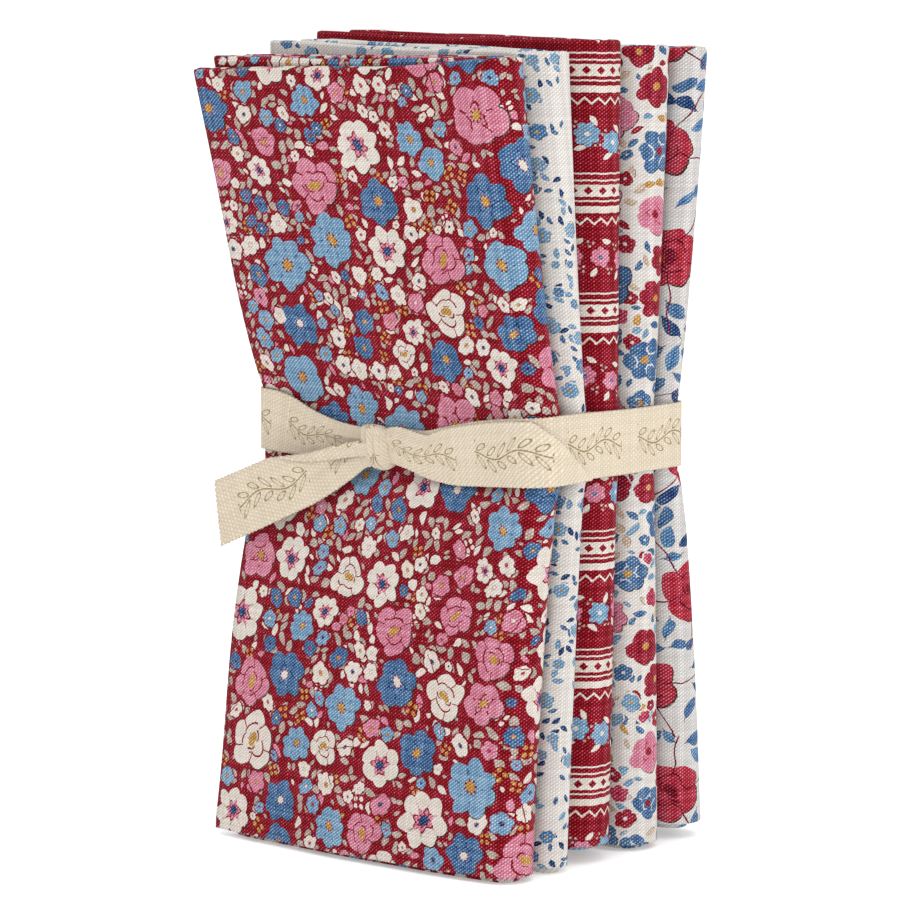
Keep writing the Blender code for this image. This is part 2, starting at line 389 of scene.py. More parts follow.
def lay_petals(under, spot, reach, count, petal, middle, heart=None, edge=None, pip=None, fold=None):
    """The colour UNDER with a flower of COUNT petals in each spot's cell, REACH out from its middle.

    HEART is the colour of a small scalloped flower round the middle and EDGE of its broken outline,
    PIP of the dots round the middle, and FOLD of the lines where one petal lies over the next.
    """
    place = folded(spot, reach, count)
    own = hashed(whole(place.turned / place.sector), spot.chance * 50.0)
    place.along = place.along * (1.07 - 0.14 * own)
    half_wide = sine(place.sector / 2) * PETAL_SLIM
    spread = oval(place, 0.6, 0.4, half_wide)
    shade_side = most(cosine(place.angle - OUTLINE_ANGLE), 0.0)
    under = paint(spread < 1.0 + 0.3 * shade_side, under, OUTLINE)
    under = paint(most(spread < 1.0, place.near < PETAL_CORE), under, petal)
    if fold is not None:
        from_border = place.along * sine(place.sector / 2) - abs(place.aside) * cosine(place.sector / 2)
        line = least(from_border < 0.03, place.near > 0.36, place.near < 0.5 + 0.2 * own)
        under = paint(line, under, fold)
    if heart is not None:
        scallop = 0.38 + 0.07 * cosine(place.turned * count)
        under = paint(place.near < scallop, under, heart)
        broken = sine(place.turned * 3.0 + spot.chance * 9.0) > -0.2
        line = least(abs(place.near - scallop) < 0.04, broken)
        under = paint(line, under, edge)
    under = paint(place.near < 0.2, under, middle)
    if pip is not None:
        ring = least(place.near > 0.17, place.near < 0.27, sine(place.turned * 8.0) > 0.3)
        under = paint(ring, under, pip)
    return under


def lay_rose(under, spot, reach, petal, line, middle):
    """The colour UNDER with a full rose in each spot's cell: scalloped petals round a closed heart."""
    place = folded(spot, reach, 5.0)
    wave = abs(cosine(place.turned * 2.5))
    edge = 0.74 + 0.2 * wave ** 0.6 + 0.06 * cosine(place.turned * 3.0 + spot.kind * 9.0)
    inside = place.near / edge
    shade_side = most(cosine(place.angle - OUTLINE_ANGLE), 0.0)
    under = paint(inside < 1.0 + 0.07 * shade_side, under, OUTLINE)
    under = paint(inside < 1.0, under, petal)
    gap = least(wave < 0.055 / most(place.near, 0.1), inside > 0.62)
    inner_wave = abs(cosine(place.turned * 1.5 + 0.7))
    inner = place.near / (0.4 + 0.14 * inner_wave ** 0.6)
    ring = least(abs(inner - 1.0) < 0.06, sine(place.turned * 2.0 + spot.kind * 6.0) > -0.5)
    heart = place.near / (0.2 + 0.07 * cosine(place.turned * 2.0))
    fold = least(abs(heart - 1.35) < 0.13, sine(place.turned * 3.0) > -0.2)
    under = paint(most(gap, ring, fold), under, line)
    return paint(heart < 1.0, under, middle)


def lay_leaf(under, spot, half_long, half_wide, colour, vein=None):
    """The colour UNDER with a leaf across each spot's middle."""
    turn = spot.turn * math.tau
    reach = most(half_long, 0.001) if isinstance(half_long, Field) else half_long
    along = (spot.x * cosine(turn) + spot.y * sine(turn)) / reach
    aside = spot.y * cosine(turn) - spot.x * sine(turn)
    aside = aside - 0.25 * half_wide * along * along
    edge = (1.0 - along * along) * half_wide
    under = paint(abs(aside + 0.1) < edge, under, OUTLINE)
    under = paint(abs(aside) < edge, under, colour)
    if vein is not None:
        under = paint(least(abs(aside) < 0.09, along < 0.5, along > -0.9), under, vein)
    return under


def lay_dots(under, spot, reach, count, colour):
    """The colour UNDER with a ring of COUNT round dots in each spot's cell."""
    place = folded(spot, reach, count)
    return paint(oval(place, 0.66, 0.32, 0.32) < 1.0, under, colour)


def clear_of(spot, other, margin):
    """How far the spot's middle is from the edge of the flower in OTHER's cell, less MARGIN."""
    apart = length(spot.middle[0] - other.middle[0], spot.middle[1] - other.middle[1])
    return apart - other.reach - margin


def large_spots(x, y, spacing, seed, largest):
    spot = Spot(x, y, spacing, seed)
    spot.reach = least(spot.room - 0.2, largest * (0.82 + 0.18 * spot.chance))
    return spot


def small_spots(x, y, spacing, seed, largest, smallest, big):
    """Cells for flowers in the room between the big ones; BIG gives the big ones' cell at a place."""
    spot = Spot(x, y, spacing, seed)
    free = clear_of(spot, big(*spot.middle), 0.3)
    reach = least(spot.room - 0.05, largest * (0.8 + 0.2 * spot.chance), free)
    spot.reach = reach * (reach > smallest)
    return spot


def filler_spots(x, y, spacing, seed, largest, smallest, big):
    """Cells for leaves and dots in what room is left."""
    spot = Spot(x, y, spacing, seed, randomness=0.6)
    free = clear_of(spot, big(*spot.middle), 0.0)
    reach = least(spot.room * 1.4, largest * (0.75 + 0.25 * spot.chance), free)
    spot.reach = reach * (reach > smallest)
    return spot


def wandering(x, y, stray, pitch):
    """The place moved by up to half of STRAY, as threads wander in cloth."""
    inputs = {"Vector": point_socket(x, y), "Scale": 1 / pitch, "Detail": 1.0}
    node = add_node(x.tree, "TexNoise", inputs, noise_dimensions="2D")
    move_x, move_y = parts(x.tree, node.outputs["Color"], 2)
    return x + (move_x - 0.5) * stray, y + (move_y - 0.5) * stray


def hand_drawn(x, y, stray):
    """The place moved by soft waves, so that no two motifs are the same shape."""
    return x + stray * sine(y * 0.71 + x * 0.23), y + stray * sine(x * 0.83 - y * 0.19)


def red_floral(x, y):
    """Flowers of many sizes and small leaves, close together on crimson."""
    def big(x, y):
        return large_spots(x, y, 15.2, 31.0, 7.9)

    x, y = hand_drawn(x, y, 0.35)
    filler = filler_spots(x, y, 3.0, 173.0, 2.1, 0.6, big)
    leaves = choice(filler.kind, [(12, LEAF_GREY), (1, PINK), (3, CREAM)])
    colour = lay_leaf(CRIMSON, filler, filler.reach, filler.reach * 0.52, leaves)
    dots = filler_spots(x + 1.7, y + 2.1, 6.4, 57.0, 1.9, 1.2, big)
    dots.reach = dots.reach * (dots.kind < 0.5)
    colour = paint(length(dots.x, dots.y) < dots.reach * 1.1, colour, CRIMSON)
    colour = lay_dots(colour, dots, dots.reach, 4.0, choice(dots.turn, [(4, GOLD), (1, CREAM)]))
    small = small_spots(x, y, 5.7, 91.0, 3.5, 1.1, big)
    colour = paint(length(small.x, small.y) < small.reach + 0.25, colour, CRIMSON)
    petals = choice(small.kind, [(4, LIGHT_BLUE), (2, PINK), (8, CREAM), (4, MID_BLUE)])
    middles = choice(small.chance, [(2, CREAM), (2, DARK_BLUE), (3, GOLD), (3, DEEP_ROSE)])
    count = 5.0 + 1.0 * (small.turn > 0.55) + 1.0 * (small.turn > 0.8)
    colour = lay_petals(colour, small, small.reach, count, petals, middles, pip=CRIMSON)
    large = big(x, y)
    is_rose = large.kind > 0.76
    kind = large.kind / 0.76
    petals = choice(kind, [(12, PINK), (18, LIGHT_BLUE), (16, MID_BLUE), (30, CREAM)])
    hearts = choice(kind, [(12, PINK), (18, LIGHT_BLUE), (16, STEEL_BLUE), (30, PINK)])
    edges = choice(kind, [(12, CRIMSON), (18, LIGHT_BLUE), (16, DARK_BLUE), (30, CRIMSON)])
    middles = choice(kind, [(32, GOLD), (8, CREAM), (6, GOLD), (30, DARK_BLUE)])
    folds = choice(kind, [(12, CRIMSON), (18, MID_BLUE), (16, DARK_BLUE), (30, LEAF_GREY)])
    count = 5.0 + 2.0 * (large.kind > 0.14) - 1.0 * (large.kind > 0.32) + 1.0 * (large.kind > 0.5)
    colour = lay_petals(
        colour, large, large.reach * (1.0 - is_rose), count, petals, middles,
        heart=hearts, edge=edges, pip=CRIMSON, fold=folds)
    rose_petals = choice(large.kind, [(0.9, CREAM), (0.1, PINK)])
    return lay_rose(colour, large, large.reach * is_rose * 1.08, rose_petals, CRIMSON, GOLD)


def cream_sprig(x, y):
    """Lanes of small blue sprigs up the cloth, with plain cream between them."""
    cells = {"spacing": 7.8, "seed": 67.0, "randomness": 0.6}
    flower = Spot(x, y, **cells)
    leaf = Spot(x, y, 2.5, 211.0, randomness=0.85)
    lanes = [
        past_step(spot.middle[0] - SPRIG_START, SPRIG_LANE) < SPRIG_WIDE
        for spot in (flower, leaf)]
    sprig = Spot(*leaf.middle, **cells, room=False)
    kept = least(length(sprig.x, sprig.y) < 4.9, leaf.chance > 0.36, lanes[1])
    reach = (0.95 + 0.4 * leaf.kind) * kept
    colour = lay_leaf(IVORY, leaf, reach, reach * 0.42, choice(leaf.kind, [
        (5, MID_BLUE), (4, DARK_BLUE), (3, LIGHT_BLUE)]))
    reach = least(flower.room * 0.55, 2.0) * lanes[0]
    colour = paint(length(flower.x, flower.y) < reach + 0.15, colour, IVORY)
    petals = choice(flower.kind, [(4, LIGHT_BLUE), (2, STEEL_BLUE)])
    return lay_petals(colour, flower, reach, 6.0, petals, GOLD)


def red_border(x, y):
    """A border print: a zigzag line, cream bands, one with red lozenges, and a row of flowers."""
    level = past_step(y - BORDER_START, BORDER_REPEAT)
    zigzag = (abs(fraction(x / ZIGZAG_PITCH) - 0.5) * 4.0 - 1.0) * ZIGZAG_HALF
    colour = paint(abs(level - ZIGZAG_LEVEL - zigzag) < ZIGZAG_THICK, CRIMSON, CREAM)
    for low, high in BORDER_BANDS:
        colour = paint(least(level > low, level < high), colour, CREAM)
    lozenge_x = (fraction(x / LOZENGE_PITCH) - 0.5) * LOZENGE_PITCH
    colour = paint(abs(lozenge_x) + abs(level - LOZENGE_LEVEL) < LOZENGE_HALF, colour, CRIMSON)
    middle = (BORDER_BANDS[-1][1] + BORDER_REPEAT + ZIGZAG_LEVEL - ZIGZAG_HALF) / 2
    row = whole((y - BORDER_START) / BORDER_REPEAT)
    along = x / BORDER_FLOWERS + 0.37 * row
    cell = whole(along)
    chance = hashed(cell, row)
    sway = (hashed(cell, row + 31.0) - 0.5) * 2.4
    here = SimpleNamespace(
        x=(fraction(along) - 0.5) * BORDER_FLOWERS, y=level - middle - sway,
        chance=chance, turn=chance, kind=chance)
    for side in (-1, 1):
        leaf = SimpleNamespace(
            x=here.x + side * 1.5, y=here.y + side * (3.7 - 0.6 * chance),
            turn=chance * 0.5 + 0.1 * side, kind=chance)
        colour = lay_leaf(colour, leaf, 1.25 + 0.3 * chance, 0.62, CREAM)
        bud = SimpleNamespace(
            x=here.x - side * 2.2, y=here.y + side * (3.3 - 1.2 * chance), turn=chance, kind=chance)
        colour = lay_dots(colour, bud, 1.0, 3.0, LEAF_GREY)
    petals = choice(chance, [(1, PINK), (1, LIGHT_BLUE)])
    middles = choice(chance, [(1, MID_BLUE), (1, CREAM)])
    return lay_petals(colour, here, 2.3 + 0.6 * chance, 7.0, petals, middles)


def mixed_floral(x, y):
    """Red, blue and pink flowers with blue leaves and beige sprays on ivory."""
    def big(x, y):
        return large_spots(x, y, 12.6, 45.0, 6.8)

    x, y = hand_drawn(x, y, 0.3)
    filler = filler_spots(x, y, 3.1, 121.0, 2.2, 0.8, big)
    leaves = choice(filler.kind, [(4, MID_BLUE), (3, LIGHT_BLUE), (4, BEIGE), (1, RED), (1, GOLD)])
    colour = lay_leaf(IVORY, filler, filler.reach, filler.reach * 0.46, leaves)
    small = small_spots(x, y, 5.7, 19.0, 3.5, 1.2, big)
    petals = choice(small.kind, [(5, RED), (2, DEEP_ROSE), (2, LIGHT_BLUE), (2, MID_BLUE), (1, BEIGE)])
    middles = choice(small.kind, [(5, IVORY), (2, RED), (2, GOLD), (2, IVORY), (1, RED)])
    colour = paint(length(small.x, small.y) < small.reach + 0.3, colour, IVORY)
    colour = lay_petals(colour, small, small.reach, 5.0, petals, middles)
    large = big(x, y)
    petals = choice(large.kind, [(5, MID_BLUE), (3, PINK), (3, RED)])
    hearts = choice(large.kind, [(3, MID_BLUE), (2, STEEL_BLUE), (3, PINK), (3, RED)])
    middles = choice(large.kind, [(2, RED), (3, GOLD), (3, RED), (3, GOLD)])
    folds = choice(large.kind, [(5, IVORY), (3, DEEP_ROSE), (3, DARK_RED)])
    return lay_petals(
        colour, large, large.reach, 5.0 + 1.0 * (large.turn > 0.5), petals, middles,
        heart=hearts, edge=folds, fold=folds)


def rose_leaf(x, y):
    """Large red roses and blue leaves on ivory."""
    def big(x, y):
        return large_spots(x, y, 26.0, 83.0, 8.6)

    x, y = hand_drawn(x, y, 0.35)
    leaf = filler_spots(x, y, 5.5, 17.0, 3.7, 1.5, big)
    colours = choice(leaf.kind, [(3, MID_BLUE), (3, STEEL_BLUE), (1, DARK_BLUE)])
    colour = lay_leaf(PALE, leaf, leaf.reach * 1.5, 0.14, TWIG)
    colour = lay_leaf(colour, leaf, leaf.reach, leaf.reach * 0.5, colours, vein=DARK_BLUE)
    large = big(x, y)
    return lay_rose(colour, large, large.reach, ROSE_RED, DARK_RED, DARK_RED)


# ------------------------------
# Cloth materials.

def cloth_place(tree):
    """The place on the flat cloth, across and along it, in millimetres."""
    across, along = parts(tree, add_node(tree, "UVMap", {}, uv_map="cut").outputs[0], 2)
    return across * 1000.0, along * 1000.0


def plain_weave(x, y, warp_pitch, weft_pitch, twist=THREAD_TWIST):
    """Height of the threads from 0 to 1, and one for each warp and each weft thread."""
    column, row = x / warp_pitch, y / weft_pitch
    warp_up = past_step(whole(column) + whole(row), 2.0)
    off_warp = (fraction(column) - 0.5) * 2.0
    off_weft = (fraction(row) - 0.5) * 2.0
    across_warp, across_weft = off_warp * off_warp, off_weft * off_weft
    warp = (1.0 - across_warp) * (1.0 - 0.5 * across_weft)
    weft = (1.0 - across_weft) * (1.0 - 0.5 * across_warp) * WEFT_CROWN
    rib = 0.5 - 0.5 * cosine((column - row) * math.pi)
    height = mix(mix(weft, warp, warp_up), rib, twist)
    return height, hashed(whole(column)), hashed(whole(row) + 0.5)


def new_material(name, settings):
    """A material, its node tree and its surface shader, with SETTINGS of the shader's inputs."""
    made = bpy.data.materials.new(name)
    made.use_nodes = True
    surface = made.node_tree.nodes["Principled BSDF"]
    for key, value in settings.items():
        surface.inputs[key].default_value = value
    return made, made.node_tree, surface


def add_bump(tree, surface, height, depth):
    bump = add_node(tree, "Bump", {"Strength": 1.0, "Distance": depth * MM, "Height": height})
    tree.links.new(bump.outputs[0], surface.inputs["Normal"])


def shaded(colour, factor):
    """The colour made darker or lighter by a field: painted light and shade."""
    return add_node(factor.tree, "VectorMath", {0: colour, "Scale": factor}, operation="SCALE").outputs[0]


def painted_thread_shade(colour, gap_shade_power):
    """The colour deepened by a power above 1 and paled by one below it: painted shade in the gaps between
    the threads and painted light on their crowns.
    """
    return add_node(gap_shade_power.tree, "Gamma", {"Color": colour, "Gamma": gap_shade_power}).outputs[0]


def thread_relief(height, warp_shade, weft_shade):
    """How much more than the mean a place catches the light, for the light and shade painted into the
    colour: more on the crowns, less in the gaps.
    """
    return height ** CROWN_SHAPE - RELIEF_MEAN + THREAD_UNEVEN * (warp_shade + weft_shade - 1.0)


def printed_cotton(name, draw, wrong_side=None):
    """Cotton with a print. The wrong side shows the print through, faded to the colour WRONG_SIDE."""
    made, tree, surface = new_material(name, COTTON_SURFACE)
    x, y = cloth_place(tree)
    threads_x, threads_y = wandering(x, y, THREAD_WANDER, WANDER_PITCH)
    height, warp_shade, weft_shade = plain_weave(threads_x, threads_y, WARP_PITCH, WEFT_PITCH)
    colour = draw(x + (weft_shade - 0.5) * INK_STRAY, y + (warp_shade - 0.5) * INK_STRAY)
    if wrong_side is not None:
        colour = mixed(tree, WRONG_SIDE_FADE, colour, wrong_side)
    relief = thread_relief(height, warp_shade, weft_shade)
    # Painted shade in the gaps between threads and painted light on their crowns, in the cloth's colour.
    colour = shaded(painted_thread_shade(colour, 1.0 - GAP_SHADE_RELIEF * relief), WEAVE_LIGHT + WEAVE_RELIEF * relief)
    tree.links.new(colour, surface.inputs["Base Color"])
    add_bump(tree, surface, height, THREAD_DEPTH)
    return made


def tape_cotton(name, weft_pitch, warp_pitch, stray, twist):
    """Natural cotton tape: a coarse plain weave of uneven threads, and a thin line of sprigs."""
    made, tree, surface = new_material(name, COTTON_SURFACE)
    x, y = cloth_place(tree)
    threads_x, threads_y = wandering(x, y, stray, WANDER_PITCH)
    height, weft_shade, warp_shade = plain_weave(threads_x, threads_y, weft_pitch, warp_pitch, twist)
    relief = thread_relief(height, warp_shade, weft_shade)
    # Painted shade in the gaps between the tape's threads and painted light on their crowns.
    colour = painted_thread_shade(lay_line(TAPE_CREAM, x, y), 1.0 - TAPE_GAP_SHADE_RELIEF * relief)
    tree.links.new(shaded(colour, TAPE_LIGHT + TAPE_RELIEF * relief), surface.inputs["Base Color"])
    add_bump(tree, surface, height, TAPE_DEPTH)
    return made


def lay_line(under, x, y):
    """The colour UNDER with thin wavy stems of outlined leaves along the tape."""
    along = past_step(x, STEM_REPEAT) - STEM_REPEAT / 2
    aside = y - STEM_SWAY * sine(along * STEM_WAVE)
    inside = abs(along) < STEM_HALF
    under = paint(least(abs(aside) < STEM_THICK, inside), under, TAPE_INK)
    place = past_step(along, STEM_LEAF_PITCH) - STEM_LEAF_PITCH / 2
    leaf_x = place - STEM_LEAF_LEAN * abs(aside) + STEM_LEAF_PITCH / 2
    leaf_y = abs(aside) - STEM_LEAF_ASIDE
    half_along, half_aside = STEM_LEAF_HALVES
    ring = (leaf_x / half_along) ** 2 + (leaf_y / half_aside) ** 2
    return paint(least(inside, ring < 1.0, ring > 0.5), under, TAPE_INK)


# ------------------------------
# The folded cloths.

def flare(z):
    """0 at the tape, 1 at the top and the bottom of the stack."""
    above = np.clip((z - WAIST_HIGH) / (HEIGHT - WAIST_HIGH), 0, 1) ** FLARE_ABOVE
    below = np.clip((WAIST_LOW - z) / (WAIST_LOW - UPRIGHT_FOOT), 0, 1) ** FLARE_BELOW
    return np.where(z > TAPE_Z, above, below)


def plane_y(index, x, z):
    """Where the plane in front of cloth INDEX lies, with the slight waves of loosely folded cloth."""
    upper = z > TAPE_Z
    swell = flare(z)

    def side(planes):
        end = np.where(upper, planes["top"][index], planes["bottom"][index])
        return mix(planes["waist"][index], end, swell)

    across = np.clip((x - OPEN_X) / WIDTH, 0, 1)
    flat = mix(side(OPEN_PLANES), side(SPINE_PLANES), across)
    bulge = FRONT_BULGE * swell * np.sin(math.pi * across) * ~upper if index == FRONT else 0.0
    wave = 0.35 * np.sin(0.083 * x + 1.7 * index + 0.9) * np.sin(0.051 * z + 2.3 * index)
    wave += 0.16 * np.sin(0.21 * x - 0.06 * z + 4.1 * index)
    return flat - bulge + wave * swell


def layer_pitch(index, x, z):
    return (plane_y(index + 1, x, z) - plane_y(index, x, z) - PACKET_GAP) / LAYERS


def route_columns():
    """The plan section, a row of the array for each mesh column.

    Columns: 0 for a run or 1 for a turn, share along the run from the open side or angle of the turn,
    layer or middle of the turn, heading (1 toward the spine, -1 from it), half span of the turn, how far
    it is an outer layer, number of the run.
    """
    run_steps = (SPINE_COLUMN, 22, 16, 12, 10)
    columns = []
    for turn, layer in enumerate(LAYER_ORDER):
        heading = 1 if turn % 2 == 0 else -1
        outer = float(layer in (0, LAYERS - 1))
        for step in range(run_steps[turn] + 1):
            share = step / run_steps[turn]
            columns.append((0, share if heading > 0 else 1 - share, layer, heading, 0, outer, turn))
        if turn + 1 == LAYERS:
            break
        after = LAYER_ORDER[turn + 1]
        after_outer = float(after in (0, LAYERS - 1))
        steps = 4 + 3 * abs(after - layer)
        for step in range(1, steps):
            part = step / steps
            middle = (layer + after) / 2
            columns.append((1, math.pi * part, middle, heading, abs(after - layer) / 2,
                            mix(outer, after_outer, part), turn))
    return np.array(columns, float)


def profile_rows():
    """The upright section of a layer's three plies: ply from -1 inside to 1 outside, and height."""
    top_round = 0.6
    low_round = 0.5
    heights = [0, 1, 2.5, 4.5, 8, 13, 19, 26, 33, 41, 49, 57, 65, 72, 78, 82.5, 85.5, 87.5, 88.7, 89.5]
    heights += [92, 98, 104, 106.5, 107.3, 108.5, 110.5, 113.5, 118, 123, 129, 136, 143, 150, 157, 164]
    heights += [171, 176, 180, 183, 185, HEIGHT - top_round]
    rows = [(1.0, height) for height in heights]
    for step in range(1, 8):
        angle = math.pi * step / 8
        rows.append((math.cos(angle), HEIGHT - top_round + top_round * math.sin(angle)))
    rows += [(-1.0, height) for height in reversed(heights) if height >= low_round]
    for step in range(1, 5):
        angle = math.pi * step / 5
        rows.append((-0.5 * (1 + math.cos(angle)), low_round * (1 - math.sin(angle))))
    rows += [(0.0, height) for height in heights[1:-3:2]]
    return np.array(rows)


def fitted_height(nominal, foot, head):
    """A nominal height moved so that the foot and the head are as given and the waist stays put."""
    low = foot + nominal / WAIST_LOW * (WAIST_LOW - foot)
    high = WAIST_HIGH + (nominal - WAIST_HIGH) / (HEIGHT - WAIST_HIGH) * (head - WAIST_HIGH)
    return np.where(nominal < WAIST_LOW, low, np.where(nominal > WAIST_HIGH, high, nominal))


def cloth_points(index, route, profile):
    """Points of the folded cloth, as arrays of x, y and z with a row for each profile point."""
    node, taller, lift, short, setback, rise, droop = CLOTHS[index]
    turning, along, layer, heading, half_span, outer, number = (column[None, :] for column in route.T)
    ply, nominal = profile[:, :1], profile[:, 1:2]
    open_end = OPEN_X + short
    z = fitted_height(nominal, outer * OUTER_FOOT + lift, HEIGHT + taller + lift)
    spine_pitch = layer_pitch(index, np.full_like(z, SPINE_X), z)
    open_pitch = layer_pitch(index, np.full_like(z, open_end), z)
    spine_centre = SPINE_X - (2 + CLOTH_SHARE / 2) * spine_pitch
    ragged = 0.5 * np.sin(0.09 * z + 1.3 * number + index) * flare(z)
    open_centre = open_end + setback + (1.5 + CLOTH_SHARE / 2) * open_pitch + ragged * (number > 0)
    ply_shift = np.where(ply < -0.6, 1.4, np.where(ply < 0.6, 0.7, 0.0)) + ragged
    run_start = np.where(number == 0, open_end + ply_shift, open_centre)
    run_x = mix(run_start, spine_centre, along)
    turn_pitch = np.where(heading > 0, spine_pitch, open_pitch)
    pitch = np.where(turning > 0, turn_pitch, layer_pitch(index, run_x, z))
    offset = ply * np.minimum(PLY_SPREAD / pitch, PLY_SHARE)
    radius = half_span + offset
    turn_x = np.where(heading > 0, spine_centre + radius * spine_pitch * np.sin(along),
                      open_centre - radius * open_pitch * np.sin(along))
    x = np.where(turning > 0, turn_x, run_x)
    place = np.where(turning > 0, layer - heading * radius * np.cos(along), layer - heading * offset)
    across = np.clip((x - open_end) / (SPINE_X - open_end), 0, 1)
    loss = droop * np.clip(1 - place, 0, 1) * (1 - across**3)
    loss = loss + 0.22 * np.sin(0.11 * x + 2.1 * layer + index) + 0.5 * (layer == 1)
    tilt = lift + rise * (1 - across)
    z = fitted_height(nominal, outer * OUTER_FOOT + tilt, HEIGHT + taller + tilt - loss)
    front = plane_y(index, x, z) + PACKET_GAP / 2
    back = plane_y(index + 1, x, z) - PACKET_GAP / 2
    return x, mix(front, back, (place + 0.5) / LAYERS), z


def grid_mesh(name, grids):
    """A mesh of grids, each given by its points, its place on the flat cloth and its material's number.

    Both are in millimetres. The place on the flat cloth goes into the UV map "cut", in metres.
    """
    vertices, faces, places, materials = [], [], [], []
    first = 0
    for points, cut, material in grids:
        rows, columns = points.shape[:2]
        corner = first + np.arange(rows * columns).reshape(rows, columns)
        quads = np.stack([corner[:-1, :-1], corner[:-1, 1:], corner[1:, 1:], corner[1:, :-1]], -1)
        vertices.append(((points - MIDDLE) * MM).reshape(-1, 3))
        places.append((cut * MM).reshape(-1, 2))
        faces.append(quads.reshape(-1, 4))
        materials.append(np.full(len(faces[-1]), material))
        first += rows * columns
    vertices, faces, places = np.concatenate(vertices), np.concatenate(faces), np.concatenate(places)
    mesh = bpy.data.meshes.new(name)
    mesh.from_pydata(vertices.tolist(), [], faces.tolist())
    mesh.uv_layers.new(name="cut").data.foreach_set("uv", places[faces.ravel()].ravel())
    mesh.polygons.foreach_set("material_index", np.concatenate(materials))
    mesh.shade_smooth()
    return new_object(name, mesh)


def new_object(name, data):
    made = bpy.data.objects.new(name, data)
    bpy.context.scene.collection.objects.link(made)
    return made


def thicken(piece, thickness, material_step=0):
    """Makes a sheet of PIECE as thick as given. Its back and rim take the material that many slots on."""
    solid = piece.modifiers.new("Thickness", "SOLIDIFY")
    solid.thickness = thickness * MM
    solid.offset = 0
    solid.material_offset = material_step
    solid.material_offset_rim = material_step


def make_cloth(index, right_side, wrong_side):
    """One folded cloth, riding where its CAD packet stands."""
    node = CLOTHS[index][0]
    route = route_columns()
    profile = profile_rows()
    x, y, z = cloth_points(index, route, profile)
    shape = (len(profile), len(route))
    points = np.stack([np.broadcast_to(part, shape) for part in (x, y, z)], -1)
    middle_ply = profile * (0, 1)
    middle_x, middle_y, _ = cloth_points(index, route, middle_ply)
    steps = np.hypot(np.diff(middle_x, axis=1), np.diff(middle_y, axis=1))
    wound = np.concatenate([np.zeros((shape[0], 1)), np.cumsum(steps, axis=1)], axis=1)
    wound += wound[0, HELD_COLUMN] - wound[:, HELD_COLUMN:HELD_COLUMN + 1]
    rises = np.diff(z[:, SPINE_COLUMN])
    climbed = np.concatenate([[0], np.cumsum(np.hypot(np.diff(profile[:, 0]) * PLY_SPREAD, rises))])
    climbed *= CLOTH_LENGTH / climbed[-1]
    cut = np.stack(np.broadcast_arrays(wound, climbed[:, None]), -1)
    piece = grid_mesh("cloth_" + node.split("_", 1)[1], [(points, cut, 0)])
    piece.data.materials.append(right_side)
    piece.data.materials.append(wrong_side)
    thicken(piece, CLOTH_THICK, material_step=1)
    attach(piece, "root")
    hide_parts(node)


# ------------------------------
# The tape.

def waist_circles():
    """The round corners that the tape lies on, as (x, y, radius), from the front left on."""
    spine = SPINE_PLANES["waist"]
    front_end = OPEN_X + END_ROUND
    circles = [(front_end, float(plane_y(FRONT, front_end, TAPE_Z)) + END_ROUND, END_ROUND)]
    for index in (FRONT, BACK):
        radius = (spine[index + 1] - spine[index]) / 2
        circles.append((SPINE_X - radius, (spine[index + 1] + spine[index]) / 2, radius))
    back_end = OPEN_X + CLOTHS[BACK][3] + END_ROUND
    circles.append((back_end, float(plane_y(BACK + 1, back_end, TAPE_Z)) - END_ROUND, END_ROUND))
    return circles


def belt(offset, steps=10):
    """The way of a belt OFFSET outside the waist's circles: an arc of (x, y) points for each circle."""
    circles = waist_circles()
    normals = []
    for (x1, y1, r1), (x2, y2, r2) in zip(circles, circles[1:] + circles[:1]):
        heading = math.atan2(y2 - y1, x2 - x1)
        normals.append(heading - math.acos((r1 - r2) / math.hypot(x2 - x1, y2 - y1)))
    arcs = []
    for number, (x, y, radius) in enumerate(circles):
        before = normals[number - 1]
        turn = (normals[number] - before) % math.tau
        angles = [before + turn * step / steps for step in range(steps + 1)]
        reach = radius + offset
        arcs.append([(x + reach * math.cos(angle), y + reach * math.sin(angle)) for angle in angles])
    return arcs


class Way:
    """A line round the waist, with the direction outward at each distance along it."""

    def __init__(self, places, outward):
        self.places = np.asarray(places, float)
        self.outward = np.asarray(outward, float)
        steps = np.linalg.norm(np.diff(self.places, axis=0), axis=1)
        self.along = np.concatenate([[0], np.cumsum(steps)])
        self.length = self.along[-1]

    def at(self, distance, proud):
        """The (x, y) points at each DISTANCE along, PROUD of the cloth."""
        place, outward = (
            np.stack([np.interp(distance, self.along, part) for part in parts_xy.T], -1)
            for parts_xy in (self.places, self.outward))
        outward /= np.linalg.norm(outward, axis=-1, keepdims=True)
        return place + outward * np.asarray(proud)[..., None]


def front_point(x, offset=0.0):
    """A point on the front of the belt, which runs straight on past both its ends."""
    left, right = (np.array(place) for place in (belt(offset)[0][-1], belt(offset)[1][0]))
    return left + (right - left) * (x - left[0]) / (right[0] - left[0])


def belt_way(start_x):
    """Round the whole stack from START_X on the front, first toward the spine, and back to it."""
    inner, outer = belt(TAPE_CLEAR), belt(TAPE_CLEAR + 1)
    order = inner[1:] + inner[:1]
    order_outer = outer[1:] + outer[:1]
    start = front_point(start_x, TAPE_CLEAR)
    start_out = start + np.array(order_outer[0][0]) - order[0][0]
    places = [start] + [point for arc in order for point in arc] + [start]
    ahead = [start_out] + [point for arc in order_outer for point in arc] + [start_out]
    return Way(places, np.array(ahead) - np.array(places))


def straight_way(from_x, to_x):
    places = np.array([front_point(from_x, TAPE_CLEAR), front_point(to_x, TAPE_CLEAR)])
    out = np.array(belt(TAPE_CLEAR + 1)[1][0]) - np.array(belt(TAPE_CLEAR)[1][0])
    return Way(places, np.array([out, out]))


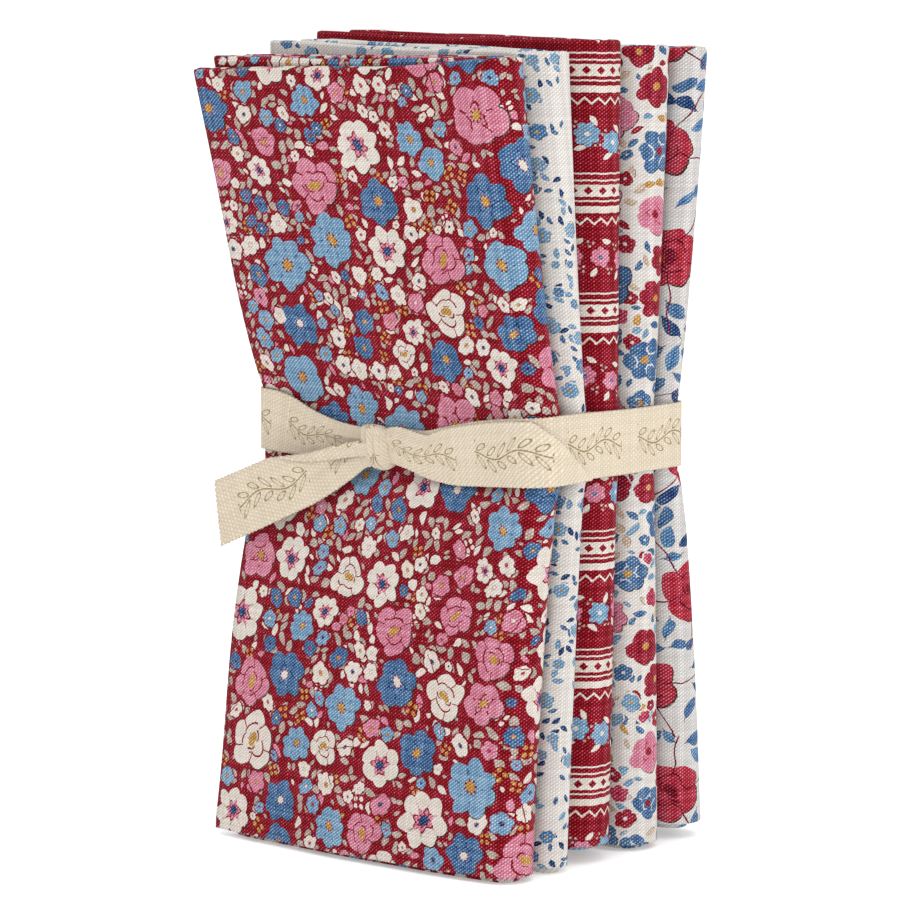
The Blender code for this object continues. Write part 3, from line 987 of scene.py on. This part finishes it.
def eased(distance, stations, column):
    """A station table's column at each distance, with a smooth passage from each station to the next."""
    at = stations[:, 0]
    slopes = np.gradient(stations[:, column], at)
    low = np.clip(np.searchsorted(at, distance, side="right") - 1, 0, len(at) - 2)
    span = at[low + 1] - at[low]
    share = np.clip((distance - at[low]) / span, 0, 1)
    rest = 1 - share
    ends = stations[low, column] * (1 + 2 * share) * rest**2
    ends = ends + stations[low + 1, column] * (3 - 2 * share) * share**2
    past = slopes[-1] * np.maximum(distance - at[-1], 0)
    return ends + span * share * rest * (slopes[low] * rest - slopes[low + 1] * share) + past


def ribbon(way, stations, slant=0.0, start=0.0, ragged=0.0, turnover=((0.0,), (0.0,))):
    """A grid of points of tape laid along WAY.

    Stations: distance, proud of the cloth, z, width, camber, gather. The far end is cut at a SLANT, and
    START is the place on the line of sprigs where the ribbon begins. TURNOVER: distances, and the share
    of the width that is folded over to the front there, at the upper edge.
    """
    stations = np.array(stations, float)
    total = stations[-1, 0]
    count = int(total / TAPE_STEP) + 1
    share = np.linspace(0, 1, count)[None, :]
    side = np.concatenate([[-1.0, -0.985], np.linspace(-0.94, 0.94, TAPE_LINES), [0.985, 1.0]])[:, None]
    fray = ragged * np.sin(side * 37.0) * share**40
    distance = share * (total + slant * side) + fray
    width, camber, gather = (eased(distance, stations, column) for column in range(3, 6))

    def middle(distance, more=0.0):
        place = way.at(distance, eased(distance, stations, 1) + more)
        return np.concatenate([place, eased(distance, stations, 2)[..., None]], -1)

    centre = middle(distance)
    ahead = middle(distance + 0.5) - middle(distance - 0.5)
    out = middle(distance, 1.0) - centre
    aside = np.cross(ahead, out)
    aside *= np.sign(aside[..., 2:3]) / np.linalg.norm(aside, axis=-1, keepdims=True)
    loops = SELVEDGE_LOOP * abs(np.sin(math.pi * distance / SELVEDGE_PITCH))
    loops = np.where(abs(side) > 0.99, loops, 0)
    ridge = np.exp(-(((side - 0.38) / 0.24) ** 2)) - 0.8 * np.exp(-(((side + 0.05) / 0.26) ** 2))
    lift = camber * (1 - side**2) + gather * ridge
    folded_over = np.interp(distance, *turnover)
    crest = 1 - 2 * folded_over
    over = np.maximum(side - crest, 0)
    lift = lift + np.minimum(folded_over * 8, 1) * (
        FOLD_PROUD * np.sqrt(np.clip(over / 0.12, 0, 1)) + 0.3 * np.exp(-(((side - crest) / 0.12) ** 2)))
    place = side - 2 * over + np.where(over > 0, -1, np.sign(side)) * loops * 2 / width
    points = centre + aside * (place * width / 2)[..., None] + out * lift[..., None]
    cut = np.stack(np.broadcast_arrays(start + distance, side * TAPE_WIDTH / 2), -1)
    return points, cut


def knot_wrap():
    """The turn of tape that holds the knot: over the front of the gathered band, from top to bottom."""
    # x, proud, z down the wrap's middle
    spine = np.array([
        (-5.6, 0.6, 99.8), (-5.5, 1.8, 101.0), (-5.1, 3.1, 100.9), (-4.6, 4.1, 99.0), (-4.1, 4.5, 96.5),
        (-3.6, 4.4, 94.0), (-3.1, 3.5, 91.8), (-2.8, 1.9, 90.7), (-2.7, 0.6, 91.2),
    ])
    steps = np.concatenate([[0], np.cumsum(np.linalg.norm(np.diff(spine, axis=0), axis=1))])
    along = np.linspace(0, steps[-1], 60)
    table = np.column_stack([steps, spine])
    x, proud, z = (eased(along, table, column) for column in (1, 2, 3))
    side = np.linspace(-1, 1, 41)[:, None]
    front, far = front_point(0.0, TAPE_CLEAR), front_point(1.0, TAPE_CLEAR)
    right = (far - front) / np.linalg.norm(far - front)
    out = np.array([right[1], -right[0]])
    share = along[None, :] / along[-1]
    crease = 0.2 * np.sin(side * 8.0 + 3.2 * share + 0.6)
    for at_top, at_foot in KNOT_CREASES:
        crease = crease - 0.5 * np.exp(-(((side - mix(at_top, at_foot, share)) / 0.11) ** 2))
    dome = (1 - abs(side) ** 2.4) ** 0.6 - 1
    rise = 2.4 * dome + crease * (1 - side**4)
    shift = side * mix(KNOT_WIDTH, KNOT_LOW_WIDTH, share) / 2
    plane = front[None, None, :] + right * (x[None, :] + shift)[..., None]
    lift = (proud[None, :] + rise * np.clip(proud[None, :] / 3, 0, 1))
    from_middle = z[None, :] - KNOT_Z
    spread = KNOT_ROUND * dome * np.sign(from_middle) * np.clip(abs(from_middle) / 5, 0, 1) ** 2
    points = np.concatenate([plane + out * lift[..., None], (z[None, :] + spread)[..., None]], -1)
    cut = np.stack(np.broadcast_arrays(along[None, :] + KNOT_CUT, side * TAPE_WIDTH / 2), -1)
    return points[:, ::-1], cut[:, ::-1]


def make_tape(*cottons):
    """The tape round the waist, its knot at the front and its two tails, as one piece."""
    round_way = belt_way(KNOT_X)
    spine_at = belt(TAPE_CLEAR)[1][0][0] - KNOT_X
    left_at = round_way.length - (KNOT_X - OPEN_X)
    band = ribbon(round_way, (
        (0, 0.5, 96.3, 7.6, 0.5, 0.3),
        (5, 0.4, 96.2, 8.4, 0.6, 0.35),
        (12, 0.35, 95.6, 9.6, 0.4, 0.3),
        (20, 0.3, 95.8, 12.3, 0.2, 0.1),
        (30, 0.3, 96.9, 14.0, 0.0, 0.0),
        (spine_at, 0.3, 98.0, TAPE_WIDTH, 0.0, 0.0),
        (spine_at + 40, 0.3, 98.2, TAPE_WIDTH, 0.0, 0.0),
        (spine_at + 90, 0.3, 98.8, TAPE_WIDTH, 0.0, 0.0),
        (left_at - 50, 0.3, 99.4, TAPE_WIDTH, 0.0, 0.0),
        (left_at, 0.3, 99.6, 14.3, 0.0, 0.0),
        (left_at + 8, 0.3, 98.9, 13.9, 0.0, 0.0),
        (left_at + 15, 0.3, 97.6, 11.6, 0.2, 0.1),
        (left_at + 25, 0.35, 96.4, 8.8, 0.5, 0.3),
        (left_at + 34, 0.4, 96.0, 7.6, 0.6, 0.35),
        (round_way.length, 0.5, 96.3, 7.4, 0.5, 0.3),
    ))
    right_tail = ribbon(round_way, (
        (0, 1.6, 96.3, 7.0, 0.6, 0.3),
        (4.5, 2.0, 96.7, 8.4, 0.7, 0.4),
        (10.5, 1.7, 95.6, 8.8, 0.7, 0.5),
        (14, 1.4, 94.9, 9.6, 0.55, 0.45),
        (20, 1.25, 95.3, 12.2, 0.3, 0.25),
        (30, 1.15, 96.4, 13.8, 0.05, 0.0),
        (38, 1.15, 97.2, 14.4, 0.1, 0.0),
        (46, 1.35, 97.7, TAPE_WIDTH, 0.2, 0.0),
        (RIGHT_TAIL, 1.9, 98.0, TAPE_WIDTH, 0.25, 0.0),
    ), slant=-7.5, start=RIGHT_TAIL_CUT, ragged=0.25)
    left_tail = ribbon(straight_way(LEFT_TAIL_START, -60.0), (
        (0, 2.3, 96.0, 8.6, 0.5, 0.2),
        (4, 2.9, 95.6, 9.8, 0.5, 0.3),
        (9, 3.8, 93.4, 11.8, 0.45, 0.4),
        (17.5, 5.4, 88.9, 13.4, 0.35, 0.4),
        (28, 7.6, 84.4, 14.5, 0.2, 0.2),
        (36, 9.4, 80.9, 14.8, 0.15, 0.05),
        (45, 11.4, 77.0, 15.0, 0.1, 0.0),
    ), slant=-1.5, start=LEFT_TAIL_CUT, ragged=0.2, turnover=((0, 5, 14, 27), (0.38, 0.34, 0.2, 0.0)))
    grids = [(*band, 0), (*right_tail, 1), (*left_tail, 0), (*knot_wrap(), 1)]
    piece = grid_mesh("tape", grids)
    for cotton in cottons:
        piece.data.materials.append(cotton)
    thicken(piece, TAPE_THICK)
    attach(piece, "root")
    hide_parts("tie_tape")


# ------------------------------
# Studio.

CAMERA_PLACE = (580.95, -687.2, 194.1)
CAMERA_AZIMUTH = math.radians(40.33)
CAMERA_PITCH = math.radians(6.38)
CAMERA_LENS = 152.0
FLOOR_SURFACE = {
    "Base Color": (0.95, 0.95, 0.95, 1), "Roughness": 0.9,
    "Emission Color": (1, 1, 1, 1), "Emission Strength": 0.28}
WORLD_LIGHT = 1.03
LIGHTS = (  # name, place, target and size in metres, power in watts
    ("overhead", (0.2, -0.2, 1.6), (0, 0, 0), 1.6, 6.5),
    ("side", (1.3, -0.1, 0.5), (0, 0, 0.1), 0.9, 3.2),
)


def make_camera():
    data = bpy.data.cameras.new("camera")
    data.lens = CAMERA_LENS
    data.sensor_width = 36
    camera = new_object("camera", data)
    camera.location = Vector(CAMERA_PLACE) * MM
    camera.rotation_euler = (math.pi / 2 - CAMERA_PITCH, 0, CAMERA_AZIMUTH)
    bpy.context.scene.camera = camera


def make_floor():
    bpy.ops.mesh.primitive_plane_add(size=60)
    floor = bpy.context.object
    floor.name = "floor"
    floor.data.materials.append(new_material("floor_paper", FLOOR_SURFACE)[0])


def area_light(name, place, target, size, power):
    data = bpy.data.lights.new(name, "AREA")
    data.size = size
    data.energy = power
    light = new_object(name, data)
    light.location = place
    light.rotation_euler = (Vector(target) - Vector(place)).to_track_quat("-Z", "Y").to_euler()


def make_light():
    world = bpy.data.worlds.new("studio")
    bpy.context.scene.world = world
    world.use_nodes = True
    world.node_tree.nodes["Background"].inputs["Color"].default_value = (1, 1, 1, 1)
    world.node_tree.nodes["Background"].inputs["Strength"].default_value = WORLD_LIGHT
    for light in LIGHTS:
        area_light(*light)
    bpy.context.scene.view_settings.view_transform = "Standard"


make_camera()
make_floor()
make_light()
PRINTS = (  # what draws the print, colour that its wrong side fades to
    (red_floral, rgb(206, 120, 130)),
    (cream_sprig, rgb(236, 230, 222)),
    (red_border, rgb(206, 130, 136)),
    (mixed_floral, rgb(236, 228, 222)),
    (rose_leaf, rgb(236, 230, 224)),
)
for index, (draw, pale) in enumerate(PRINTS):
    right_side = printed_cotton(f"{draw.__name__}_print", draw)
    wrong_side = printed_cotton(f"{draw.__name__}_wrong_side", draw, pale)
    make_cloth(index, right_side, wrong_side)
TAPE_COTTONS = (  # name, weft pitch, warp pitch, how far its threads stray, share of diagonal ribs
    ("tape_band", 0.85, 0.52, 0.5, 0.1),
    ("tape_tail", 0.62, 0.6, 0.8, 0.4),
)
make_tape(*(tape_cotton(*cotton) for cotton in TAPE_COTTONS))
